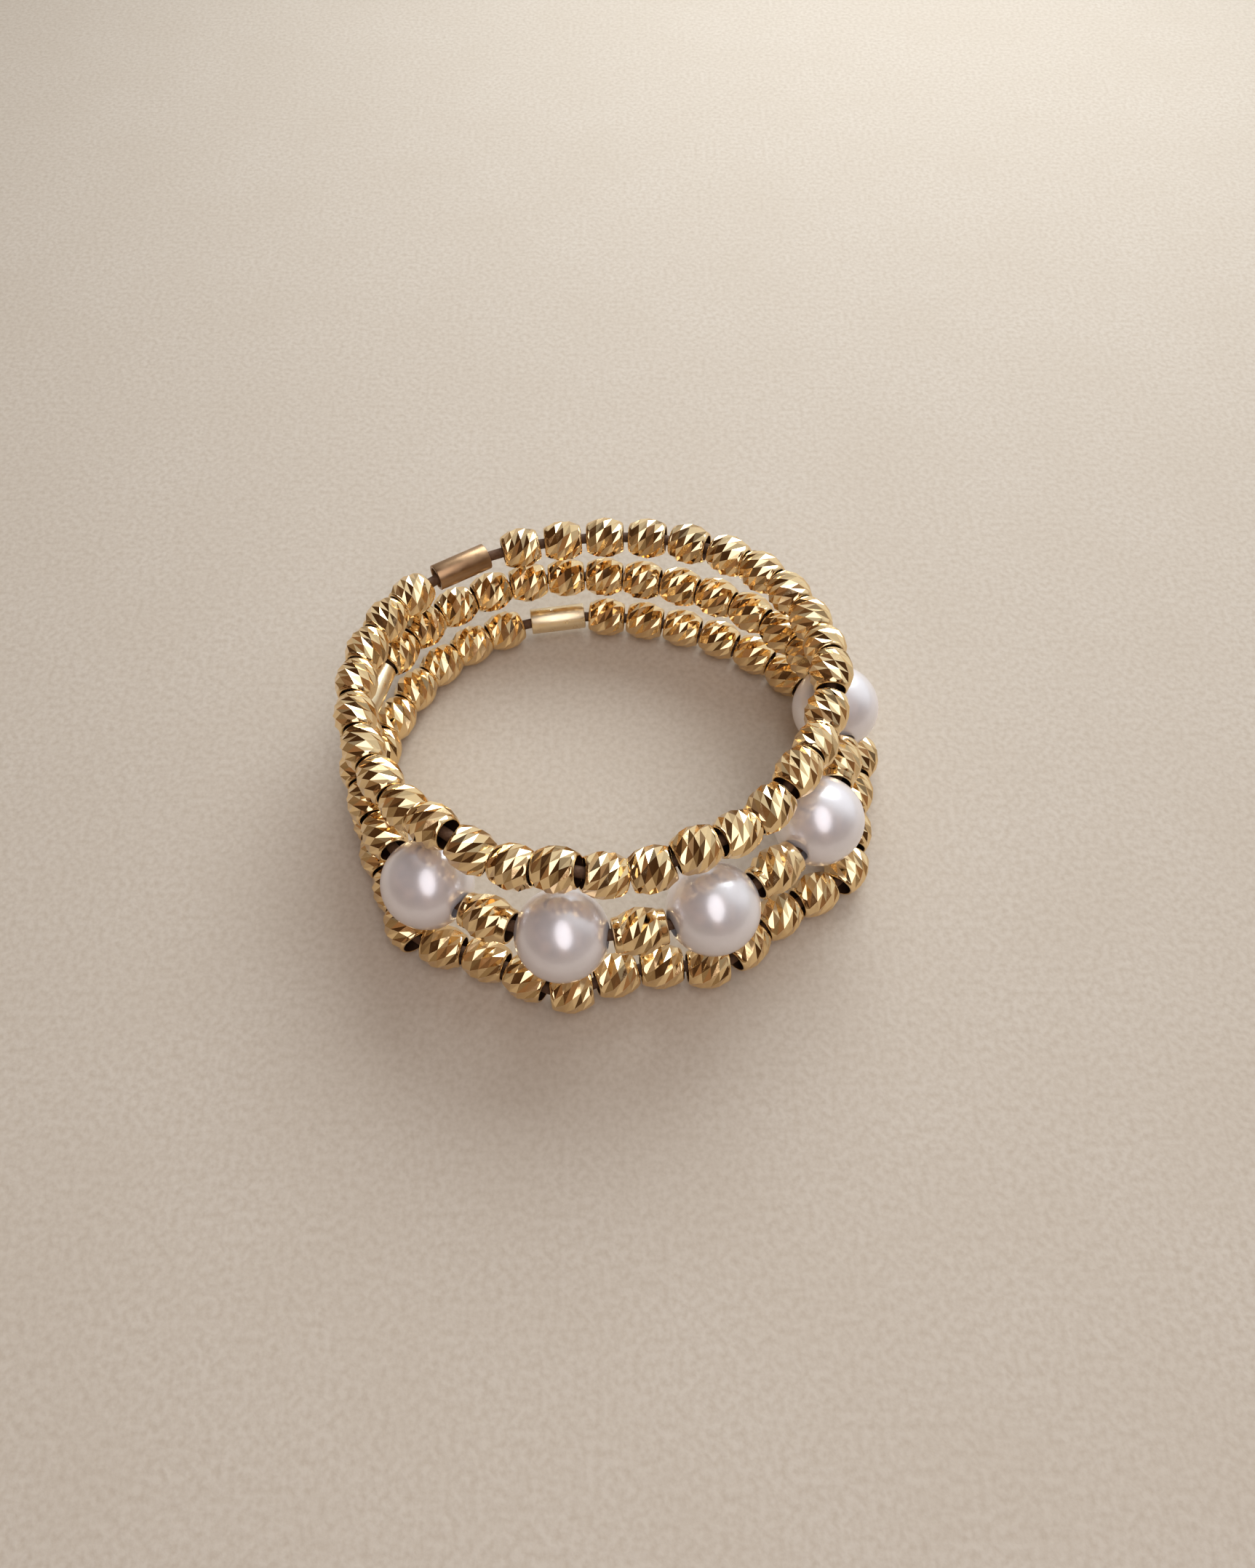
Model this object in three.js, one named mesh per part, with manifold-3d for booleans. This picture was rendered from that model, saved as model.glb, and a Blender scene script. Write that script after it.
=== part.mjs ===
// A stretch ring: three rows of small gold beads on elastic, lying on its side, with five pearls
// in the middle row. Millimetres, +Z up. The bottom row lies on Z = 0, and +Y is the back.
import * as THREE from 'three'
import { mergeVertices } from 'three/addons/utils/BufferGeometryUtils.js'
import Module from 'manifold-3d'

// --- driving dimensions -------------------------------------------------------------------

const BEAD_DIAMETER = 2.0        // gold bead, across its flats
const BEAD_LENGTH = 1.84         // gold bead, along the elastic
const SPACER_LENGTH = 2.27       // the longer gold bead between two pearls
const BEAD_SIDES = 10            // flats round a bead; one of them faces straight down
const BEAD_RIM = 0.68            // radius of the collar at each end, over the bead's radius
const BEAD_BARREL = 0.5          // length of the full-width band, over the bead's length
const PEARL_DIAMETER = 4.0
const PEARL_BORE = 1.2
const PEARL_SIDES = 16
const PEARL_COUNT = 5
const PEARL_PITCH = 6.46         // from one pearl to the next, with a gold spacer bead half way
const ELASTIC_DIAMETER = 0.5
const ELASTIC_SIDES = 6
const ELASTIC_STEP = 2.1         // the elastic bends about once in each such length
const MERGE_TOLERANCE = 0.002    // joined faces flatter than this become one
const CRIMP_DIAMETER = 1.3
const CRIMP_BORE = 1.0
const CRIMP_LENGTH = 2.8
const CRIMP_SIDES = 12

// What the pearls do to the rows above and below them.
const PEARL_LIFT = 0.62          // a pearl's crown lifts the top row by this
const PEARL_PUSH = 0.76          // a pearl pushes the bottom row outwards by this
const PEARL_REACH = 1.5          // how far along the row that fades away

// Each row is a slightly uneven loop. oval widens it across X and oval_turn turns the oval;
// swell and swell_turn give it three soft corners. The rises tilt it: rise_right at +X,
// rise_back at +Y, rise_ends at both ends of X, rise_turn at the back right and front left.
const LOOPS = {
  top: { x: 0, y: 0, radius: 10.255, oval: 0.459, oval_turn: -0.015, swell: -0.092, swell_turn: 0.182,
    height: 5.739, rise_right: 0.514, rise_back: -0.769, rise_ends: 0.064, rise_turn: -0.027 },
  middle: { x: 0.146, y: -1.202, radius: 10.666, oval: 0.469, oval_turn: -0.139, swell: 0.109,
    swell_turn: 0.122, height: 3.489, rise_right: 0.382, rise_back: -0.644, rise_ends: 0, rise_turn: 0 },
  bottom: { x: 0.629, y: -2.155, radius: 10.637, oval: 0.791, oval_turn: 0.063, swell: 0.254,
    swell_turn: -0.020, height: BEAD_DIAMETER / 2, rise_right: 0, rise_back: 0, rise_ends: 0, rise_turn: 0 },
}

// Places along a row are lengths of elastic from its foremost point, growing to the right.
const FIRST_PEARL = -7.715

// How each row is strung with gold beads, in runs of [first place, how many, pitch]. The crimp
// tube sits where two runs end. The middle row's spacers and pearls come on top of its runs.
const STRINGING = {
  top: { crimp: 39.92, runs: [[-22.69, 26, 1.949], [28.18, 5, 2.147]] },
  middle: { crimp: 47.81, runs: [[21.345, 13, 1.99], [50.386, 4, 1.98]] },
  bottom: { crimp: 37.55, runs: [[-28.97, 11, 1.932], [-7.626, 22, 2.028]] },
}

// --- materials ----------------------------------------------------------------------------

const finish = (color, roughness, metalness) => () =>
  new THREE.MeshStandardMaterial({ color, roughness, metalness })
const gold = finish(0xd8b878, 0.18, 1)
const roseGold = finish(0xa9805c, 0.25, 1)
const pearlWhite = finish(0xe9e2dd, 0.16, 0)

// --- solids -------------------------------------------------------------------------------

const wasm = await Module()
wasm.setup()

function solidFrom(geometry) {
  const bare = geometry.index ? geometry.toNonIndexed() : geometry.clone()
  bare.deleteAttribute('normal')
  bare.deleteAttribute('uv')
  const merged = mergeVertices(bare, 1e-5)
  return new wasm.Manifold(new wasm.Mesh({
    numProp: 3,
    vertProperties: merged.attributes.position.array,
    triVerts: new Uint32Array(merged.index.array),
  }))
}

function geometryFrom(solid) {
  const mesh = solid.getMesh()
  const geometry = new THREE.BufferGeometry()
  geometry.setAttribute('position', new THREE.BufferAttribute(mesh.vertProperties, 3))
  geometry.setIndex(new THREE.BufferAttribute(mesh.triVerts, 1))
  geometry.computeVertexNormals()
  return geometry
}

// --- rows ---------------------------------------------------------------------------------

class Loop extends THREE.Curve {
  constructor(shape, pearls = [], lift = 0, push = 0) {
    super()
    Object.assign(this, { shape, pearls, lift, push, arcLengthDivisions: 1440 })
  }

  // 1 beside a pearl, fading to 0 away from it
  nearPearls(place) {
    const bearing = Math.atan2(place.y, place.x)
    return this.pearls.reduce((sum, pearl) => {
      const turn = bearing - Math.atan2(pearl.y, pearl.x)
      const along = Math.atan2(Math.sin(turn), Math.cos(turn)) * this.shape.radius
      return sum + Math.exp(-((along / PEARL_REACH) ** 2))
    }, 0)
  }

  getPoint(t, target = new THREE.Vector3()) {
    const { x, y, radius, oval, oval_turn, swell, swell_turn } = this.shape
    const { height, rise_right, rise_back, rise_ends, rise_turn } = this.shape
    const angle = 2 * Math.PI * t - Math.PI / 2
    const r = radius + oval * Math.cos(2 * angle) + oval_turn * Math.sin(2 * angle) +
      swell * Math.cos(3 * angle) + swell_turn * Math.sin(3 * angle)
    const z = height + rise_right * Math.cos(angle) + rise_back * Math.sin(angle) +
      rise_ends * Math.cos(2 * angle) + rise_turn * Math.sin(2 * angle)
    target.set(x + r * Math.cos(angle), y + r * Math.sin(angle), z)
    const near = this.nearPearls(target)
    const outwards = 1 + this.push * near / Math.hypot(target.x, target.y)
    return target.set(target.x * outwards, target.y * outwards, z + this.lift * near)
  }

  // a place on the loop, and the turn that lays a piece's own Y axis along the elastic there
  frameAt(length) {
    const total = this.getLength()
    const u = (((length % total) + total) % total) / total
    const position = this.getPointAt(u)
    const along = this.getTangentAt(u)
    const side = new THREE.Vector3().crossVectors(along, new THREE.Vector3(0, 0, 1)).normalize()
    const up = new THREE.Vector3().crossVectors(side, along)
    const matrix = new THREE.Matrix4().makeBasis(side, along, up).setPosition(position)
    return { position, matrix, quaternion: new THREE.Quaternion().setFromRotationMatrix(matrix) }
  }
}

const middleLoop = new Loop(LOOPS.middle)
const pearlFrames = Array.from({ length: PEARL_COUNT }, (_, i) =>
  middleLoop.frameAt(FIRST_PEARL + i * PEARL_PITCH))
const pearlPlaces = pearlFrames.map((frame) => frame.position)
const topLoop = new Loop(LOOPS.top, pearlPlaces, PEARL_LIFT, 0)
const bottomLoop = new Loop(LOOPS.bottom, pearlPlaces, 0, PEARL_PUSH)

// the lengths along a row at which its runs of gold beads sit
const beadLengths = (runs) => runs.flatMap(([first, count, pitch]) =>
  Array.from({ length: count }, (_, k) => first + k * pitch))

// --- pieces -------------------------------------------------------------------------------

const points = (...pairs) => pairs.map(([r, y]) => new THREE.Vector2(r, y))

function beadGeometry(length) {
  const corner = 1 / Math.cos(Math.PI / BEAD_SIDES)
  const widest = BEAD_DIAMETER / 2 * corner
  const end = length / 2
  const barrel = end * BEAD_BARREL
  const rim = widest * BEAD_RIM
  const profile = points([0, -end], [rim, -end], [widest, -barrel], [widest, barrel], [rim, end], [0, end])
  return new THREE.LatheGeometry(profile, BEAD_SIDES).rotateY(Math.PI / BEAD_SIDES)
}

function tubeGeometry(outer, bore, length, sides) {
  const end = length / 2
  const inner = bore / 2
  const skin = outer / 2
  const profile = points([inner, -end], [skin, -end], [skin, end], [inner, end], [inner, -end])
  return new THREE.LatheGeometry(profile, sides)
}

function pearlGeometry() {
  const radius = PEARL_DIAMETER / 2
  const boreAngle = Math.asin(PEARL_BORE / PEARL_DIAMETER)
  const steps = PEARL_SIDES / 2
  const skin = Array.from({ length: steps + 1 }, (_, i) => {
    const angle = boreAngle + (Math.PI - 2 * boreAngle) * i / steps
    return [radius * Math.sin(angle), -radius * Math.cos(angle)]
  })
  return new THREE.LatheGeometry(points(...skin, skin[0]), PEARL_SIDES)
}

// a stretch of a loop between two lengths along it, as a path of its own
class Stretch extends THREE.Curve {
  constructor(loop, from, to) {
    super()
    Object.assign(this, { loop, from, to, arcLengthDivisions: 20 })
  }

  getPoint(t, target = new THREE.Vector3()) {
    return target.copy(this.loop.frameAt(this.from + (this.to - this.from) * t).position)
  }
}

function elasticGeometry(loop, from, to) {
  const radius = ELASTIC_DIAMETER / 2
  const section = new THREE.Shape(Array.from({ length: ELASTIC_SIDES }, (_, i) => {
    const angle = 2 * Math.PI * i / ELASTIC_SIDES
    return new THREE.Vector2(radius * Math.cos(angle), radius * Math.sin(angle))
  }))
  const steps = Math.max(1, Math.round((to - from) / ELASTIC_STEP))
  return new THREE.ExtrudeGeometry(section, { steps, extrudePath: new Stretch(loop, from, to) })
}

// gold beads joined along their elastic, which runs on through the pearls and the crimp tube
function rowGeometry(loop, beads) {
  const total = loop.getLength()
  const places = beads.map((bead) => ((bead.place % total) + total) % total).sort((a, b) => a - b)
  const next = [...places.slice(1), places[0] + total]
  const solids = beads.map(({ place, length }) =>
    solidFrom(beadGeometry(length).applyMatrix4(loop.frameAt(place).matrix)))
  const elastic = places.map((place, i) => solidFrom(elasticGeometry(loop, place, next[i])))
  const joined = [...solids, ...elastic].reduce((sum, solid) => sum.add(solid))
  return geometryFrom(joined.simplify(MERGE_TOLERANCE))
}

// --- the ring -----------------------------------------------------------------------------

const ring = new THREE.Group()

function addPiece(name, geometry, material, frame) {
  const mesh = new THREE.Mesh(geometry, material())
  mesh.name = name
  if (frame) {
    mesh.position.copy(frame.position)
    mesh.quaternion.copy(frame.quaternion)
  }
  ring.add(mesh)
}

const rows = { top: topLoop, middle: middleLoop, bottom: bottomLoop }
const spacers = Array.from({ length: PEARL_COUNT - 1 }, (_, i) =>
  ({ place: FIRST_PEARL + (i + 0.5) * PEARL_PITCH, length: SPACER_LENGTH }))
const crimpMaterials = { top: roseGold, middle: gold, bottom: gold }

for (const [name, loop] of Object.entries(rows)) {
  const { runs, crimp } = STRINGING[name]
  const beads = beadLengths(runs).map((place) => ({ place, length: BEAD_LENGTH }))
  if (name === 'middle') beads.push(...spacers)
  addPiece(`${name}_row`, rowGeometry(loop, beads), gold)
  const tube = tubeGeometry(CRIMP_DIAMETER, CRIMP_BORE, CRIMP_LENGTH, CRIMP_SIDES)
  addPiece(`crimp_tube_${name}`, tube, crimpMaterials[name], loop.frameAt(crimp))
}
pearlFrames.forEach((frame, i) => addPiece(`pearl_${i + 1}`, pearlGeometry(), pearlWhite, frame))

// the origin is the middle of the ring's footprint, on the surface that it lies on
const middle = new THREE.Box3().setFromObject(ring, true).getCenter(new THREE.Vector3())
ring.position.set(-middle.x, -middle.y, 0)

export default ring
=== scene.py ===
"""A pearl stretch ring: three rows of diamond-cut gold beads with five pearls, lying on its side."""

import math

import bmesh
import bpy
import numpy as np
from mathutils import Matrix, Vector, noise


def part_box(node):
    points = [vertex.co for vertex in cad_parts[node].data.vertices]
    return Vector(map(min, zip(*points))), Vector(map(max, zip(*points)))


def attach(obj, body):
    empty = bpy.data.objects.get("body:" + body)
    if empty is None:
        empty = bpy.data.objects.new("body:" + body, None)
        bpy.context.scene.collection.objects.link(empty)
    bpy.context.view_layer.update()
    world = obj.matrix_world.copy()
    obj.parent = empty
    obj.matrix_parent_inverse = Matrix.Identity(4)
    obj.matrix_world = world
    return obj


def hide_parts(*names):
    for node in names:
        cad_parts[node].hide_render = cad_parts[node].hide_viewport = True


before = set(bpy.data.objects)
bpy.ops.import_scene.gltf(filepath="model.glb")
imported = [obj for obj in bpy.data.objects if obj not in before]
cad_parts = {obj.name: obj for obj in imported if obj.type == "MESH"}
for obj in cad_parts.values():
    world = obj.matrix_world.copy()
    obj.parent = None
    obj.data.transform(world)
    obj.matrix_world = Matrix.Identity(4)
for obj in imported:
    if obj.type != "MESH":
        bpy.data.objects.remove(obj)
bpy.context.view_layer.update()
# the pieces are made in millimetres, and new_piece brings them to metres
MM = 0.001


# --- Camera -------------------------------------------------------------------------------
# A close view from above the pearls, level from left to right. It stands two ring widths away,
# so the near side of the ring looks larger than the far side.

CAMERA_ELEVATION = math.radians(59.74)
CAMERA_DISTANCE = 49.93 * MM
CAMERA_AIM = Vector((0.64, -2.02, 3.0)) * MM
CAMERA_LENS = 25.05

camera = bpy.data.objects.new("camera", bpy.data.cameras.new("camera"))
camera.data.lens = CAMERA_LENS
camera.data.clip_start = 1 * MM
camera.data.clip_end = 10
camera.rotation_euler = (math.pi / 2 - CAMERA_ELEVATION, 0, 0)
looking = Vector((0, math.cos(CAMERA_ELEVATION), -math.sin(CAMERA_ELEVATION)))
camera.location = CAMERA_AIM - looking * CAMERA_DISTANCE
bpy.context.scene.collection.objects.link(camera)
bpy.context.scene.camera = camera
bpy.context.scene.view_settings.view_transform = "Standard"


# --- Paper and studio ---------------------------------------------------------------------
# The ring lies on a sheet of warm off-white paper with a fine tooth. A tall oval window shines
# over the camera, a wide one behind the ring lights the paper, and the room above is dim.

PAPER_SIZE = 3.0
PAPER_WARM = (0.60, 0.517, 0.413, 1)
PAPER_PALE = (0.65, 0.575, 0.478, 1)
PAPER_PIT = (0.55, 0.467, 0.368, 1)
ROOM_DIM = (0.060, 0.031, 0.016, 1)
ROOM_WARM = (0.30, 0.175, 0.105, 1)
ROOM_PALE = (0.25, 0.185, 0.125, 1)
ROOM_LIGHT = (0.86, 0.88, 0.90, 1)
ROOM_LIGHT_SIDE = (0.52, 0.80, 0.30)
# place and size in millimetres, power in watts
STUDIO_LIGHTS = (
    {"name": "window", "place": (10, -50, 106), "size": (76, 148), "watts": 0.055,
     "colour": (0.95, 0.94, 1.0)},
    {"name": "sky", "place": (32, 98, 84), "size": (120, 70), "watts": 0.144,
     "colour": (0.84, 0.92, 1.0)},
)
LIGHT_AIM = Vector((0, 0, 2)) * MM


def new_material(name):
    material = bpy.data.materials.new(name)
    material.use_nodes = True
    tree = material.node_tree
    return material, tree, tree.nodes["Principled BSDF"]


def add_node(tree, kind, inputs=None, **settings):
    node = tree.nodes.new(kind)
    for key, value in settings.items():
        setattr(node, key, value)
    for key, value in (inputs or {}).items():
        if isinstance(value, bpy.types.NodeSocket):
            tree.links.new(value, node.inputs[key])
        else:
            node.inputs[key].default_value = value
    return node


def blend_colours(tree, share, first, second):
    node = add_node(tree, "ShaderNodeMix", data_type="RGBA")
    for socket, value in zip((node.inputs[0], node.inputs[6], node.inputs[7]), (share, first, second)):
        if isinstance(value, bpy.types.NodeSocket):
            tree.links.new(value, socket)
        else:
            socket.default_value = value
    return node.outputs[2]


def add_bump(tree, shader, height, strength, depth):
    """Dents in the surface, depth in millimetres."""
    bump = add_node(tree, "ShaderNodeBump", {"Height": height, "Strength": strength})
    bump.inputs["Distance"].default_value = depth * MM
    tree.links.new(bump.outputs["Normal"], shader.inputs["Normal"])


def paper_material():
    material, tree, shader = new_material("paper")
    place = add_node(tree, "ShaderNodeTexCoord").outputs["Object"]
    mottle = add_node(tree, "ShaderNodeTexNoise", {"Vector": place, "Scale": 160, "Detail": 3})
    fibres = add_node(tree, "ShaderNodeTexNoise", {"Vector": place, "Scale": 3600, "Detail": 5})
    specks = add_node(tree, "ShaderNodeTexVoronoi", {"Vector": place, "Scale": 2600})
    tooth = add_node(tree, "ShaderNodeMath", {0: specks.outputs["Distance"], 1: fibres.outputs["Fac"]})
    pits = add_node(tree, "ShaderNodeMapRange", {"Value": fibres.outputs["Fac"], "From Min": 0.30,
                                                 "From Max": 0.62})
    sheet = blend_colours(tree, mottle.outputs["Fac"], PAPER_WARM, PAPER_PALE)
    colour = blend_colours(tree, pits.outputs["Result"], PAPER_PIT, sheet)
    tree.links.new(colour, shader.inputs["Base Color"])
    shader.inputs["Roughness"].default_value = 0.9
    shader.inputs["Specular IOR Level"].default_value = 0.2
    add_bump(tree, shader, tooth.outputs[0], 0.22, 0.05)
    return material


def paper_sheet():
    bm = bmesh.new()
    bmesh.ops.create_grid(bm, x_segments=2, y_segments=2, size=PAPER_SIZE / 2)
    mesh = bpy.data.meshes.new("paper")
    bm.to_mesh(mesh)
    bm.free()
    mesh.materials.append(paper_material())
    sheet = bpy.data.objects.new("paper", mesh)
    bpy.context.scene.collection.objects.link(sheet)


def area_light(name, place, size, watts, colour):
    light = bpy.data.lights.new(name, "AREA")
    light.shape = "ELLIPSE"
    light.size, light.size_y = (side * MM for side in size)
    light.energy = watts
    light.color = colour
    lamp = bpy.data.objects.new(name, light)
    lamp.location = Vector(place) * MM
    lamp.rotation_euler = (lamp.location - LIGHT_AIM).to_track_quat("Z", "Y").to_euler()
    bpy.context.scene.collection.objects.link(lamp)


def dim_room():
    """Pale low walls, darkness above them with warm patches, and a light wall at the back right."""
    world = bpy.data.worlds.new("room")
    bpy.context.scene.world = world
    world.use_nodes = True
    tree = world.node_tree
    outwards = add_node(tree, "ShaderNodeTexCoord").outputs["Generated"]
    upwards = add_node(tree, "ShaderNodeSeparateXYZ", {0: outwards}).outputs["Z"]
    height = add_node(tree, "ShaderNodeMapRange", {"Value": upwards, "From Min": 0.05, "From Max": 0.42},
                      interpolation_type="SMOOTHSTEP")
    clutter = add_node(tree, "ShaderNodeTexNoise", {"Vector": outwards, "Scale": 2.6, "Detail": 2})
    warm = add_node(tree, "ShaderNodeMapRange", {"Value": clutter.outputs["Fac"], "From Min": 0.48,
                                                 "From Max": 0.60}, interpolation_type="SMOOTHSTEP")
    sideways = add_node(tree, "ShaderNodeVectorMath", {0: outwards, 1: ROOM_LIGHT_SIDE},
                        operation="DOT_PRODUCT")
    light = add_node(tree, "ShaderNodeMapRange", {"Value": sideways.outputs["Value"], "From Min": 0.30,
                                                  "From Max": 0.85}, interpolation_type="SMOOTHSTEP")
    overhead = blend_colours(tree, warm.outputs["Result"], ROOM_DIM, ROOM_WARM)
    around = blend_colours(tree, height.outputs["Result"], ROOM_PALE, overhead)
    colour = blend_colours(tree, light.outputs["Result"], around, ROOM_LIGHT)
    tree.links.new(colour, tree.nodes["Background"].inputs["Color"])


paper_sheet()
dim_room()
for light in STUDIO_LIGHTS:
    area_light(**light)


# --- Elastic ------------------------------------------------------------------------------
# Each row is strung on its own dark elastic thread, a slightly oval loop whose knot sits in a
# crimp tube. The pearls lift the top row and push the bottom row out where they pass it.

ELASTIC_RADIUS = 0.25
ELASTIC_SIDES = 12
ELASTIC_STEPS = 360
ELASTIC_DARK = (0.075, 0.030, 0.013, 1)
ELASTIC_PALE = (0.210, 0.110, 0.055, 1)
LOOP_STEPS = 1440
LOOP_NUDGE = 0.01
PEARL_COUNT = 5
PEARL_PITCH = 6.46
FIRST_PEARL = -7.715
PEARL_REACH = 1.5


class Loop:
    """One closed row, in millimetres. A length along it starts at its foremost point."""

    def __init__(self, middle, radius, oval, swell, height, rise, twist, lift=0, push=0):
        self.middle = np.array(middle)
        self.radius, self.oval, self.swell = radius, oval, swell
        self.height, self.rise, self.twist = height, rise, twist
        self.lift, self.push, self.pearls = lift, push, ()
        self.origin = np.zeros(3)

    def point(self, share):
        angle = 2 * math.pi * share - math.pi / 2
        once, twice, thrice = (np.array((math.cos(n * angle), math.sin(n * angle))) for n in (1, 2, 3))
        reach = self.radius + np.dot(self.oval, twice) + np.dot(self.swell, thrice)
        x, y = self.middle + reach * once
        z = self.height + np.dot(self.rise, once) + np.dot(self.twist, twice)
        bearing = math.atan2(y, x)
        near = 0
        for pearl in self.pearls:
            turn = math.remainder(bearing - math.atan2(pearl[1], pearl[0]), 2 * math.pi)
            near += math.exp(-((turn * self.radius / PEARL_REACH) ** 2))
        outwards = 1 + self.push * near / math.hypot(x, y)
        return np.array((x * outwards, y * outwards, z + self.lift * near))

    def measure(self):
        self.shares = np.linspace(0, 1, LOOP_STEPS + 1)
        path = np.array([self.point(share) for share in self.shares])
        steps = np.linalg.norm(np.diff(path, axis=0), axis=1)
        self.lengths = np.concatenate(([0], np.cumsum(steps)))
        self.total = self.lengths[-1]

    def place(self, length):
        share = np.interp(length % self.total, self.lengths, self.shares)
        return self.point(share) + self.origin

    def frame(self, length):
        """A matrix at that length, with its own Y along the elastic and Z upwards."""
        ahead, behind = self.place(length + LOOP_NUDGE), self.place(length - LOOP_NUDGE)
        along = Vector(ahead - behind).normalized()
        side = along.cross(Vector((0, 0, 1))).normalized()
        up = side.cross(along)
        turned = Matrix((side, along, up)).transposed().to_4x4()
        return Matrix.Translation(Vector(self.place(length))) @ turned


top_loop = Loop(middle=(0, 0), radius=10.255, oval=(0.459, -0.015), swell=(-0.092, 0.182),
                height=5.739, rise=(0.514, -0.769), twist=(0.064, -0.027), lift=0.62)
middle_loop = Loop(middle=(0.146, -1.202), radius=10.666, oval=(0.469, -0.139), swell=(0.109, 0.122),
                   height=3.489, rise=(0.382, -0.644), twist=(0, 0))
bottom_loop = Loop(middle=(0.629, -2.155), radius=10.637, oval=(0.791, 0.063), swell=(0.254, -0.020),
                   height=1.0, rise=(0, 0), twist=(0, 0), push=0.76)
middle_loop.measure()
pearl_lengths = [FIRST_PEARL + i * PEARL_PITCH for i in range(PEARL_COUNT)]
pearl_places = [middle_loop.place(length) for length in pearl_lengths]
for loop in (top_loop, bottom_loop):
    loop.pearls = pearl_places
    loop.measure()

# the loops' own origin, seen from the middle of the ring's footprint
first_low, first_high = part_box("pearl_1")
ring_origin = np.array((first_low + first_high) / 2) / MM - pearl_places[0]
for loop in (top_loop, middle_loop, bottom_loop):
    loop.origin = ring_origin


def new_piece(name, bm, *materials):
    mesh = bpy.data.meshes.new(name)
    bm.transform(Matrix.Scale(MM, 4))
    bm.to_mesh(mesh)
    bm.free()
    for material in materials:
        mesh.materials.append(material)
    piece = bpy.data.objects.new(name, mesh)
    bpy.context.scene.collection.objects.link(piece)
    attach(piece, "root")
    return piece


def elastic_material():
    material, tree, shader = new_material("elastic")
    place = add_node(tree, "ShaderNodeTexCoord").outputs["Object"]
    strands = add_node(tree, "ShaderNodeTexNoise", {"Vector": place, "Scale": 9000, "Detail": 3})
    colour = blend_colours(tree, strands.outputs["Fac"], ELASTIC_DARK, ELASTIC_PALE)
    tree.links.new(colour, shader.inputs["Base Color"])
    shader.inputs["Roughness"].default_value = 0.6
    shader.inputs["Specular IOR Level"].default_value = 0.25
    add_bump(tree, shader, strands.outputs["Fac"], 0.3, 0.02)
    return material


def round_skin(bm, rings):
    """A smooth skin from each ring of points to the next, and from the last back to the first."""
    for ring, following in zip(rings, rings[1:] + rings[:1]):
        for side in range(len(ring)):
            after = (side + 1) % len(ring)
            face = bm.faces.new((ring[side], ring[after], following[after], following[side]))
            face.smooth = True
    bmesh.ops.recalc_face_normals(bm, faces=bm.faces)


def thread(loop):
    bm = bmesh.new()
    rings = []
    for step in range(ELASTIC_STEPS):
        at = loop.frame(loop.total * step / ELASTIC_STEPS)
        ring = []
        for side in range(ELASTIC_SIDES):
            angle = 2 * math.pi * side / ELASTIC_SIDES
            rim = Vector((math.cos(angle), 0, math.sin(angle))) * ELASTIC_RADIUS
            ring.append(bm.verts.new(at @ rim))
        rings.append(ring)
    round_skin(bm, rings)
    return bm


elastic = elastic_material()
for row, loop in (("top", top_loop), ("middle", middle_loop), ("bottom", bottom_loop)):
    new_piece(f"elastic_{row}", thread(loop), elastic)


# --- Gold beads ---------------------------------------------------------------------------
# Each bead is a short barrel pressed from thin gold-plated brass. A cutter takes slanted V-cuts
# out of its belly in long lozenges that lean one way, and leaves a plain collar round each hole.

BEAD_RADIUS = 0.985
BEAD_WIDEST = 0.998
BEAD_ELLIPSE = 1.25
CUTS_ROUND = 12
CUT_RINGS = (-0.76, -0.38, 0, 0.38, 0.76)
CUT_SHIFT = 0.05
WOBBLE_ALONG = 0.02
WOBBLE_DEPTH = 0.012
WOBBLE_TURN = 0.03
COLLAR_SEGMENTS = 36
COLLAR = ((0.755, 0.820), (0.736, 0.850), (0.718, 0.878), (0.701, 0.900), (0.682, 0.914),
          (0.657, 0.920), (0.633, 0.916), (0.615, 0.902))
BORE = ((0.606, 0.88), (0.600, 0.50))
SPACER_EXTRA = 0.215
SPACER_GIRTH = 1.035
BEAD_KINDS = 8
BEAD_LEAN = 0.02
FIRST_ROW_SEED = 40
SPACER_SEED = 50
GOLD_DEEP = (0.86, 0.61, 0.30, 1)
GOLD_PALE = (0.91, 0.70, 0.41, 1)
# The bore colours are painted shade: the insides of the holes are near black, with brown mixed in at
# random.
BORE_PAINTED_SHADE = (0.030, 0.010, 0.005, 1)
BORE_BROWN = (0.14, 0.065, 0.030, 1)


def ring_of(bm, count, place):
    """A ring of points about the Y axis, where place(i) gives each one's (angle, radius, along)."""
    ring = []
    for i in range(count):
        angle, radius, along = place(i)
        ring.append(bm.verts.new((radius * math.cos(angle), along, radius * math.sin(angle))))
    return ring


def cut_belly(bm, chance):
    """Lozenges between leaning rings of points. Each is two flats that meet in a valley."""
    pitch = 2 * math.pi / CUTS_ROUND
    shift = chance.uniform(-CUT_SHIFT, CUT_SHIFT)
    rings = []
    for number, along in enumerate(CUT_RINGS):
        def place(i):
            wobble = chance.uniform(-1, 1, 3)
            y = along + shift + WOBBLE_ALONG * wobble[0]
            radius = BEAD_RADIUS * math.sqrt(1 - (y / BEAD_ELLIPSE) ** 2) + WOBBLE_DEPTH * wobble[1]
            return pitch * (i + number / 2) + WOBBLE_TURN * wobble[2], min(radius, BEAD_WIDEST), y
        rings.append(ring_of(bm, CUTS_ROUND, place))
    for ring, following in zip(rings, rings[1:]):
        for i in range(CUTS_ROUND):
            after = (i + 1) % CUTS_ROUND
            bm.faces.new((ring[i], ring[after], following[after]))
            bm.faces.new((ring[i], following[after], following[i]))
    return rings[0], rings[-1]


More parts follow.
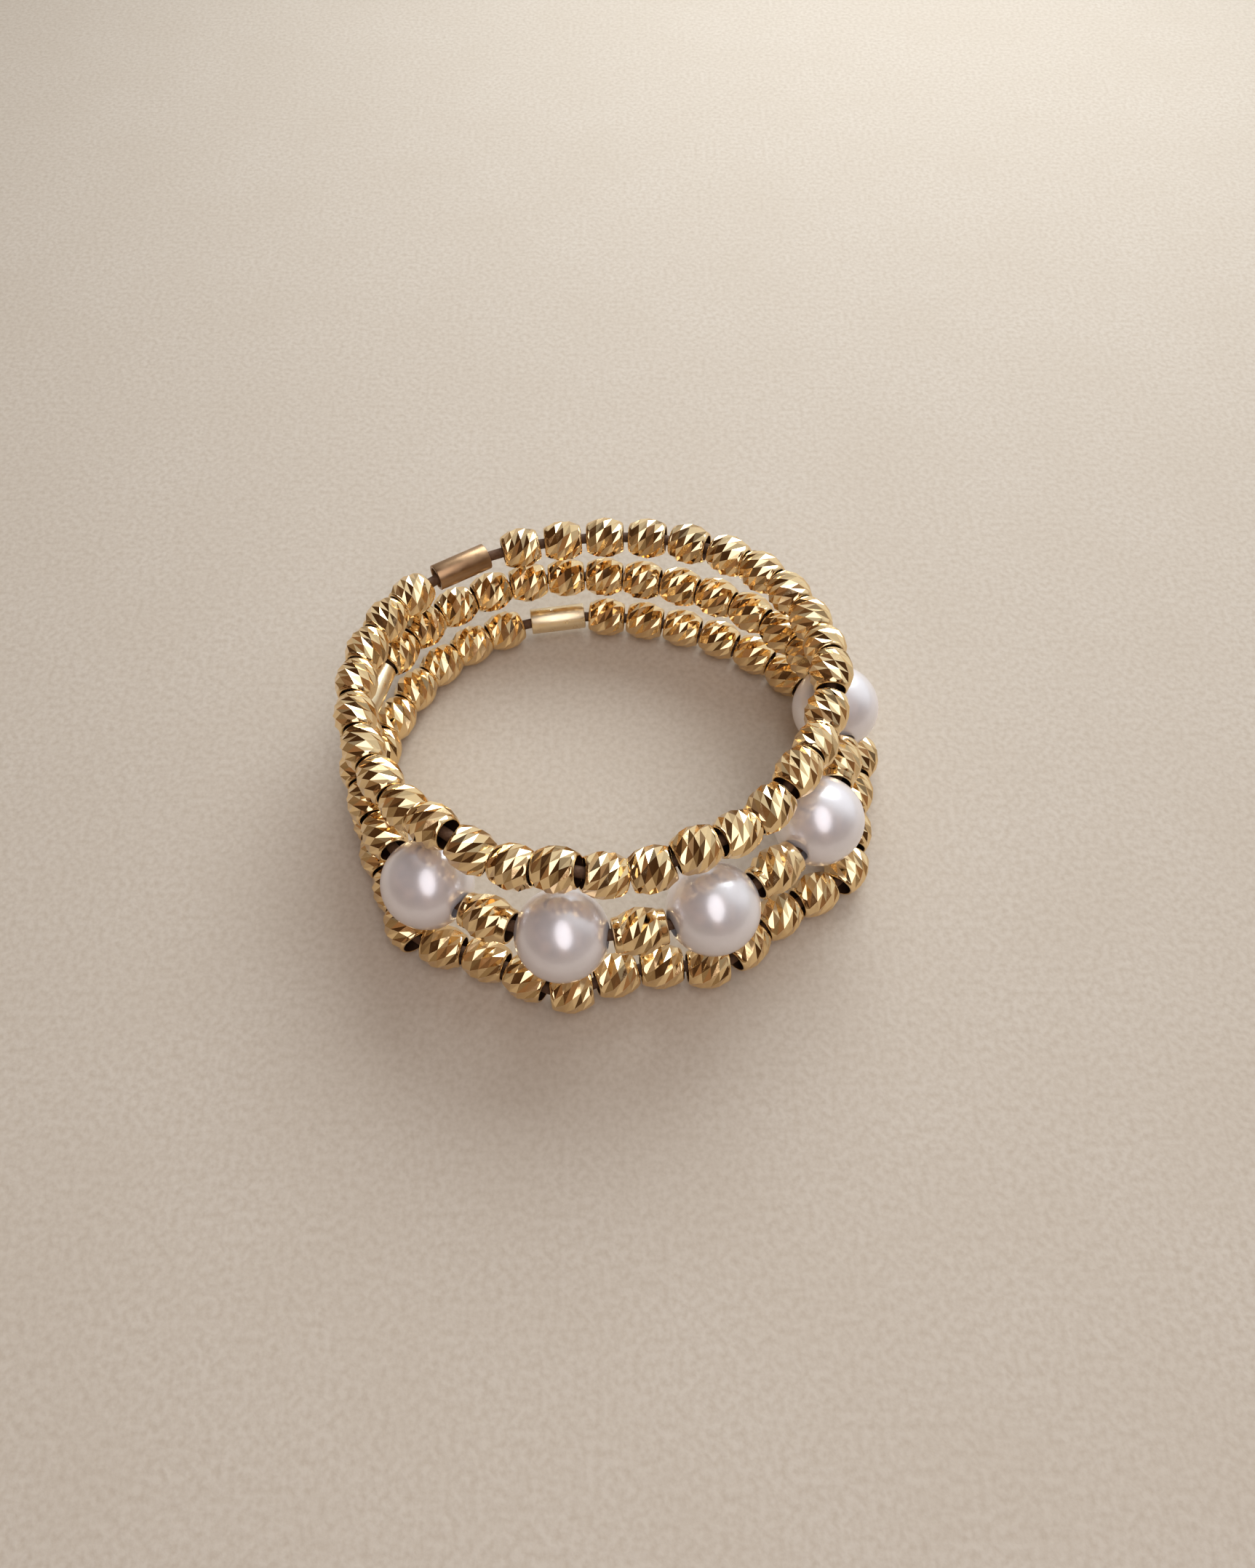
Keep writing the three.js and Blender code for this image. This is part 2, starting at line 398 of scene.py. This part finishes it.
def collar(bm, edge, end, lean, extra):
    """From the cut belly's edge to the hole at one end: a shoulder of small flats, then a smooth lip."""
    share = COLLAR_SEGMENTS // CUTS_ROUND
    rows = []
    for number, (radius, along) in enumerate((*COLLAR, *BORE)):
        reach = end * (along + (extra if number else 0))
        rows.append(ring_of(bm, COLLAR_SEGMENTS,
                            lambda i: (2 * math.pi * (i / COLLAR_SEGMENTS + lean), radius, reach)))
    for i in range(CUTS_ROUND):
        after = (i + 1) % CUTS_ROUND
        near = [rows[0][(i * share + step) % COLLAR_SEGMENTS] for step in range(share + 1)]
        half = share // 2
        for step in range(share):
            bm.faces.new((edge[i] if step <= half else edge[after], near[step + 1], near[step]))
        bm.faces.new((edge[i], edge[after], near[half + 1]))
    for number, (row, following) in enumerate(zip(rows, rows[1:])):
        for i in range(COLLAR_SEGMENTS):
            after = (i + 1) % COLLAR_SEGMENTS
            face = bm.faces.new((row[i], row[after], following[after], following[i]))
            face.smooth = True
            # The last lip row and the bore take the bore finish, which is painted shade.
            face.material_index = int(number >= len(COLLAR) - 1)
    return rows[-1]


def cut_bead(seed, extra=0, girth=1):
    """A gold bead. A spacer's collars are longer by extra at each end."""
    chance = np.random.default_rng(seed)
    bm = bmesh.new()
    first, last = cut_belly(bm, chance)
    last_lean = (len(CUT_RINGS) - 1) / 2 / CUTS_ROUND
    inside = collar(bm, first, -1, 0, extra)
    outside = collar(bm, last, 1, last_lean, extra)
    turn = round(last_lean * COLLAR_SEGMENTS)
    for i in range(COLLAR_SEGMENTS):
        after = (i + 1) % COLLAR_SEGMENTS
        ends = (outside[i - turn], outside[after - turn])
        face = bm.faces.new((inside[i], inside[after], ends[1], ends[0]))
        face.smooth = True
        face.material_index = 1
    bmesh.ops.scale(bm, vec=(girth, 1, girth), verts=bm.verts)
    bmesh.ops.recalc_face_normals(bm, faces=bm.faces)
    mesh = bpy.data.meshes.new(f"bead_{seed}")
    bm.to_mesh(mesh)
    bm.free()
    return mesh


bead_kinds = [cut_bead(seed) for seed in range(BEAD_KINDS)]
spacer_kinds = []
for seed in range(PEARL_COUNT - 1):
    spacer_kinds.append(cut_bead(BEAD_KINDS + seed, SPACER_EXTRA, SPACER_GIRTH))


def handling_haze():
    """The faint haze that wearing leaves on polished metal, as a mask and as a roughness."""
    group = bpy.data.node_groups.new("handling_haze", "ShaderNodeTree")
    group.interface.new_socket("Vector", in_out="INPUT", socket_type="NodeSocketVector")
    for name in ("Scale", "Bright", "Dull"):
        group.interface.new_socket(name, in_out="INPUT", socket_type="NodeSocketFloat")
    for name in ("Haze", "Roughness"):
        group.interface.new_socket(name, in_out="OUTPUT", socket_type="NodeSocketFloat")
    given = add_node(group, "NodeGroupInput").outputs
    result = add_node(group, "NodeGroupOutput").inputs
    smears = add_node(group, "ShaderNodeTexNoise", {"Vector": given["Vector"], "Scale": given["Scale"],
                                                    "Detail": 4})
    polish = add_node(group, "ShaderNodeMapRange", {"Value": smears.outputs["Fac"], "From Min": 0.35,
                                                    "From Max": 0.75, "To Min": given["Bright"],
                                                    "To Max": given["Dull"]})
    group.links.new(smears.outputs["Fac"], result["Haze"])
    group.links.new(polish.outputs["Result"], result["Roughness"])
    return group


haze_group = handling_haze()


def gold_material():
    material, tree, shader = new_material("cut_gold")
    place = add_node(tree, "ShaderNodeTexCoord").outputs["Object"]
    tone = add_node(tree, "ShaderNodeTexNoise", {"Vector": place, "Scale": 420, "Detail": 2})
    haze = add_node(tree, "ShaderNodeGroup", {"Vector": place, "Scale": 3800, "Bright": 0.05,
                                              "Dull": 0.14}, node_tree=haze_group)
    colour = blend_colours(tree, tone.outputs["Fac"], GOLD_DEEP, GOLD_PALE)
    tree.links.new(colour, shader.inputs["Base Color"])
    shader.inputs["Metallic"].default_value = 1
    tree.links.new(haze.outputs["Roughness"], shader.inputs["Roughness"])
    add_bump(tree, shader, haze.outputs["Haze"], 0.12, 0.01)
    return material


def bore_material():
    # Inside the holes: painted shade, near black with a random brown mottle.
    material, tree, shader = new_material("bead_bore")
    place = add_node(tree, "ShaderNodeTexCoord").outputs["Object"]
    bore_mottle = add_node(tree, "ShaderNodeTexNoise", {"Vector": place, "Scale": 2600, "Detail": 3})
    colour = blend_colours(tree, bore_mottle.outputs["Fac"], BORE_PAINTED_SHADE, BORE_BROWN)
    tree.links.new(colour, shader.inputs["Base Color"])
    shader.inputs["Metallic"].default_value = 0.8
    shader.inputs["Roughness"].default_value = 0.6
    return material


def strung_beads(loop, lengths, kinds, seed):
    """Beads on a loop, each rolled about the elastic and sitting a little askew on it."""
    chance = np.random.default_rng(seed)
    bm = bmesh.new()
    for length in lengths:
        start = len(bm.verts)
        bm.from_mesh(kinds[chance.integers(len(kinds))])
        bm.verts.ensure_lookup_table()
        roll = Matrix.Rotation(chance.uniform(0, 2 * math.pi), 4, "Y")
        askew = Matrix.Rotation(chance.normal(0, BEAD_LEAN), 4, "X")
        askew = askew @ Matrix.Rotation(chance.normal(0, BEAD_LEAN), 4, "Z")
        bmesh.ops.transform(bm, matrix=loop.frame(length) @ askew @ roll, verts=bm.verts[start:])
    return bm


def runs_of_beads(*runs):
    """Places along a loop, from runs given as the first place, the count and the pitch."""
    return [first + pitch * i for first, count, pitch in runs for i in range(count)]


gold = gold_material()
bore = bore_material()
bead_rows = {
    "top": (top_loop, runs_of_beads((-22.69, 26, 1.949), (28.18, 5, 2.147))),
    "middle": (middle_loop, runs_of_beads((21.345, 13, 1.99), (50.386, 4, 1.98))),
    "bottom": (bottom_loop, runs_of_beads((-28.97, 11, 1.932), (-7.626, 22, 2.028))),
}
for seed, (row, (loop, lengths)) in enumerate(bead_rows.items()):
    strung = strung_beads(loop, lengths, bead_kinds, FIRST_ROW_SEED + seed)
    beads = new_piece(f"gold_beads_{row}", strung, gold, bore)
    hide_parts(f"{row}_row")

spacer_lengths = runs_of_beads((FIRST_PEARL + PEARL_PITCH / 2, PEARL_COUNT - 1, PEARL_PITCH))
strung = strung_beads(middle_loop, spacer_lengths, spacer_kinds, SPACER_SEED)
spacers = new_piece("gold_spacers", strung, gold, bore)
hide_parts("middle_row")


# --- Pearls -------------------------------------------------------------------------------
# Five round white pearls, each drilled through for the elastic. Layered nacre gives a soft
# body glow under a satin skin, with a rosy and green-grey bloom.

PEARL_RADIUS = 1.995
PEARL_HOLE = 0.42
PEARL_HOLE_EDGE = 0.05
PEARL_HOLE_FLARE = 0.015
PEARL_HOLE_LIP = 0.010
PEARL_HOLE_MIDDLE = 0.6
PEARL_SWELL = 0.008
PEARL_SWELL_SCALE = 0.5
PEARL_SINK = 0.4
PEARL_ROWS = 44
PEARL_SEGMENTS = 72
PEARL_TURN = 1.1
NACRE_GREEN = (0.755, 0.765, 0.74, 1)
NACRE_ROSE = (0.89, 0.805, 0.825, 1)
NACRE_PALE = (0.90, 0.865, 0.88, 1)
NACRE_SHEEN = (1.0, 0.86, 0.86, 1)


def pearl_mesh(at, seed):
    """A drilled ball whose skin swells and dips by about a hundredth of a millimetre."""
    rows = []
    edge = math.asin((PEARL_HOLE + PEARL_HOLE_EDGE) / PEARL_RADIUS)
    for row in range(PEARL_ROWS + 1):
        angle = edge + (math.pi - 2 * edge) * row / PEARL_ROWS
        rows.append((PEARL_RADIUS * math.sin(angle), -PEARL_RADIUS * math.cos(angle)))
    end = rows[-1][1]
    flare = PEARL_HOLE + PEARL_HOLE_FLARE
    bore_half = [(flare, end - PEARL_HOLE_LIP), (PEARL_HOLE, end - PEARL_HOLE_EDGE),
                 (PEARL_HOLE, PEARL_HOLE_MIDDLE)]
    rows += [*bore_half, *((radius, -along) for radius, along in reversed(bore_half))]
    bm = bmesh.new()
    rings = []
    for radius, along in rows:
        ring = []
        for segment in range(PEARL_SEGMENTS):
            angle = 2 * math.pi * segment / PEARL_SEGMENTS
            spot = Vector((radius * math.cos(angle), along, radius * math.sin(angle)))
            swell = noise.noise(spot * PEARL_SWELL_SCALE + Vector((7 * seed, 0, 0)))
            ring.append(bm.verts.new(spot * (1 + PEARL_SWELL * (swell - PEARL_SINK))))
        rings.append(ring)
    round_skin(bm, rings)
    bmesh.ops.transform(bm, matrix=at, verts=bm.verts)
    return bm


def pearl_material():
    material, tree, shader = new_material("nacre")
    place = add_node(tree, "ShaderNodeTexCoord").outputs["Object"]
    bloom = add_node(tree, "ShaderNodeTexNoise", {"Vector": place, "Scale": 330, "Detail": 2})
    layers = add_node(tree, "ShaderNodeTexNoise", {"Vector": place, "Scale": 2400, "Detail": 4})
    tint = blend_colours(tree, bloom.outputs["Fac"], NACRE_GREEN, NACRE_ROSE)
    colour = blend_colours(tree, layers.outputs["Fac"], tint, NACRE_PALE)
    tree.links.new(colour, shader.inputs["Base Color"])
    shader.inputs["Metallic"].default_value = 0.34
    shader.inputs["Roughness"].default_value = 0.28
    shader.inputs["IOR"].default_value = 1.6
    shader.inputs["Coat Weight"].default_value = 1.0
    shader.inputs["Coat Roughness"].default_value = 0.19
    shader.inputs["Coat IOR"].default_value = 1.65
    shader.inputs["Sheen Weight"].default_value = 0.22
    shader.inputs["Sheen Roughness"].default_value = 0.4
    shader.inputs["Sheen Tint"].default_value = NACRE_SHEEN
    add_bump(tree, shader, layers.outputs["Fac"], 0.05, 0.02)
    return material


nacre = pearl_material()
for number, length in enumerate(pearl_lengths, start=1):
    turned = Matrix.Rotation(PEARL_TURN * number, 4, "Y")
    ball = pearl_mesh(middle_loop.frame(length) @ turned, number)
    pearl = new_piece(f"drilled_pearl_{number}", ball, nacre)
    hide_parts(f"pearl_{number}")


# --- Crimp tubes --------------------------------------------------------------------------
# Each elastic's knot is drawn into a short plain tube, cut from drawn brass and plated. The
# top row's tube is rosier than the rest. The ends are square cut with a small burnished edge.

CRIMP_LENGTHS = {"top": 39.92, "middle": 47.81, "bottom": 37.55}
CRIMP_PROFILE = ((0.645, 0), (0.645, 1.36), (0.636, 1.385), (0.615, 1.395), (0.530, 1.395),
                 (0.508, 1.385), (0.502, 1.36), (0.502, 0))
CRIMP_SEGMENTS = 48
ROSY_DEEP = (0.33, 0.195, 0.10, 1)
ROSY_PALE = (0.47, 0.30, 0.17, 1)
TUBE_DEEP = (0.88, 0.70, 0.42, 1)
TUBE_PALE = (0.95, 0.82, 0.58, 1)


def crimp_mesh(at):
    rows = [*CRIMP_PROFILE, *((r, -y) for r, y in reversed(CRIMP_PROFILE) if y)]
    bm = bmesh.new()
    rings = []
    for radius, along in rows:
        rings.append(ring_of(bm, CRIMP_SEGMENTS,
                             lambda i: (2 * math.pi * i / CRIMP_SEGMENTS, radius, along)))
    round_skin(bm, rings)
    bmesh.ops.transform(bm, matrix=at, verts=bm.verts)
    return bm


def tube_material(name, darker, paler, shine, satin):
    material, tree, shader = new_material(name)
    place = add_node(tree, "ShaderNodeTexCoord").outputs["Object"]
    drawn = add_node(tree, "ShaderNodeGroup", {"Vector": place, "Scale": 2200, "Bright": shine,
                                               "Dull": satin}, node_tree=haze_group)
    colour = blend_colours(tree, drawn.outputs["Haze"], darker, paler)
    tree.links.new(colour, shader.inputs["Base Color"])
    shader.inputs["Metallic"].default_value = 1
    tree.links.new(drawn.outputs["Roughness"], shader.inputs["Roughness"])
    add_bump(tree, shader, drawn.outputs["Haze"], 0.15, 0.01)
    return material


rosy_tube = tube_material("rosy_tube", ROSY_DEEP, ROSY_PALE, shine=0.30, satin=0.46)
gold_tube = tube_material("gold_tube", TUBE_DEEP, TUBE_PALE, shine=0.26, satin=0.40)
for row, loop in (("top", top_loop), ("middle", middle_loop), ("bottom", bottom_loop)):
    tube_finish = rosy_tube if row == "top" else gold_tube
    tube = new_piece(f"crimp_{row}", crimp_mesh(loop.frame(CRIMP_LENGTHS[row])), tube_finish)
    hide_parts(f"crimp_tube_{row}")
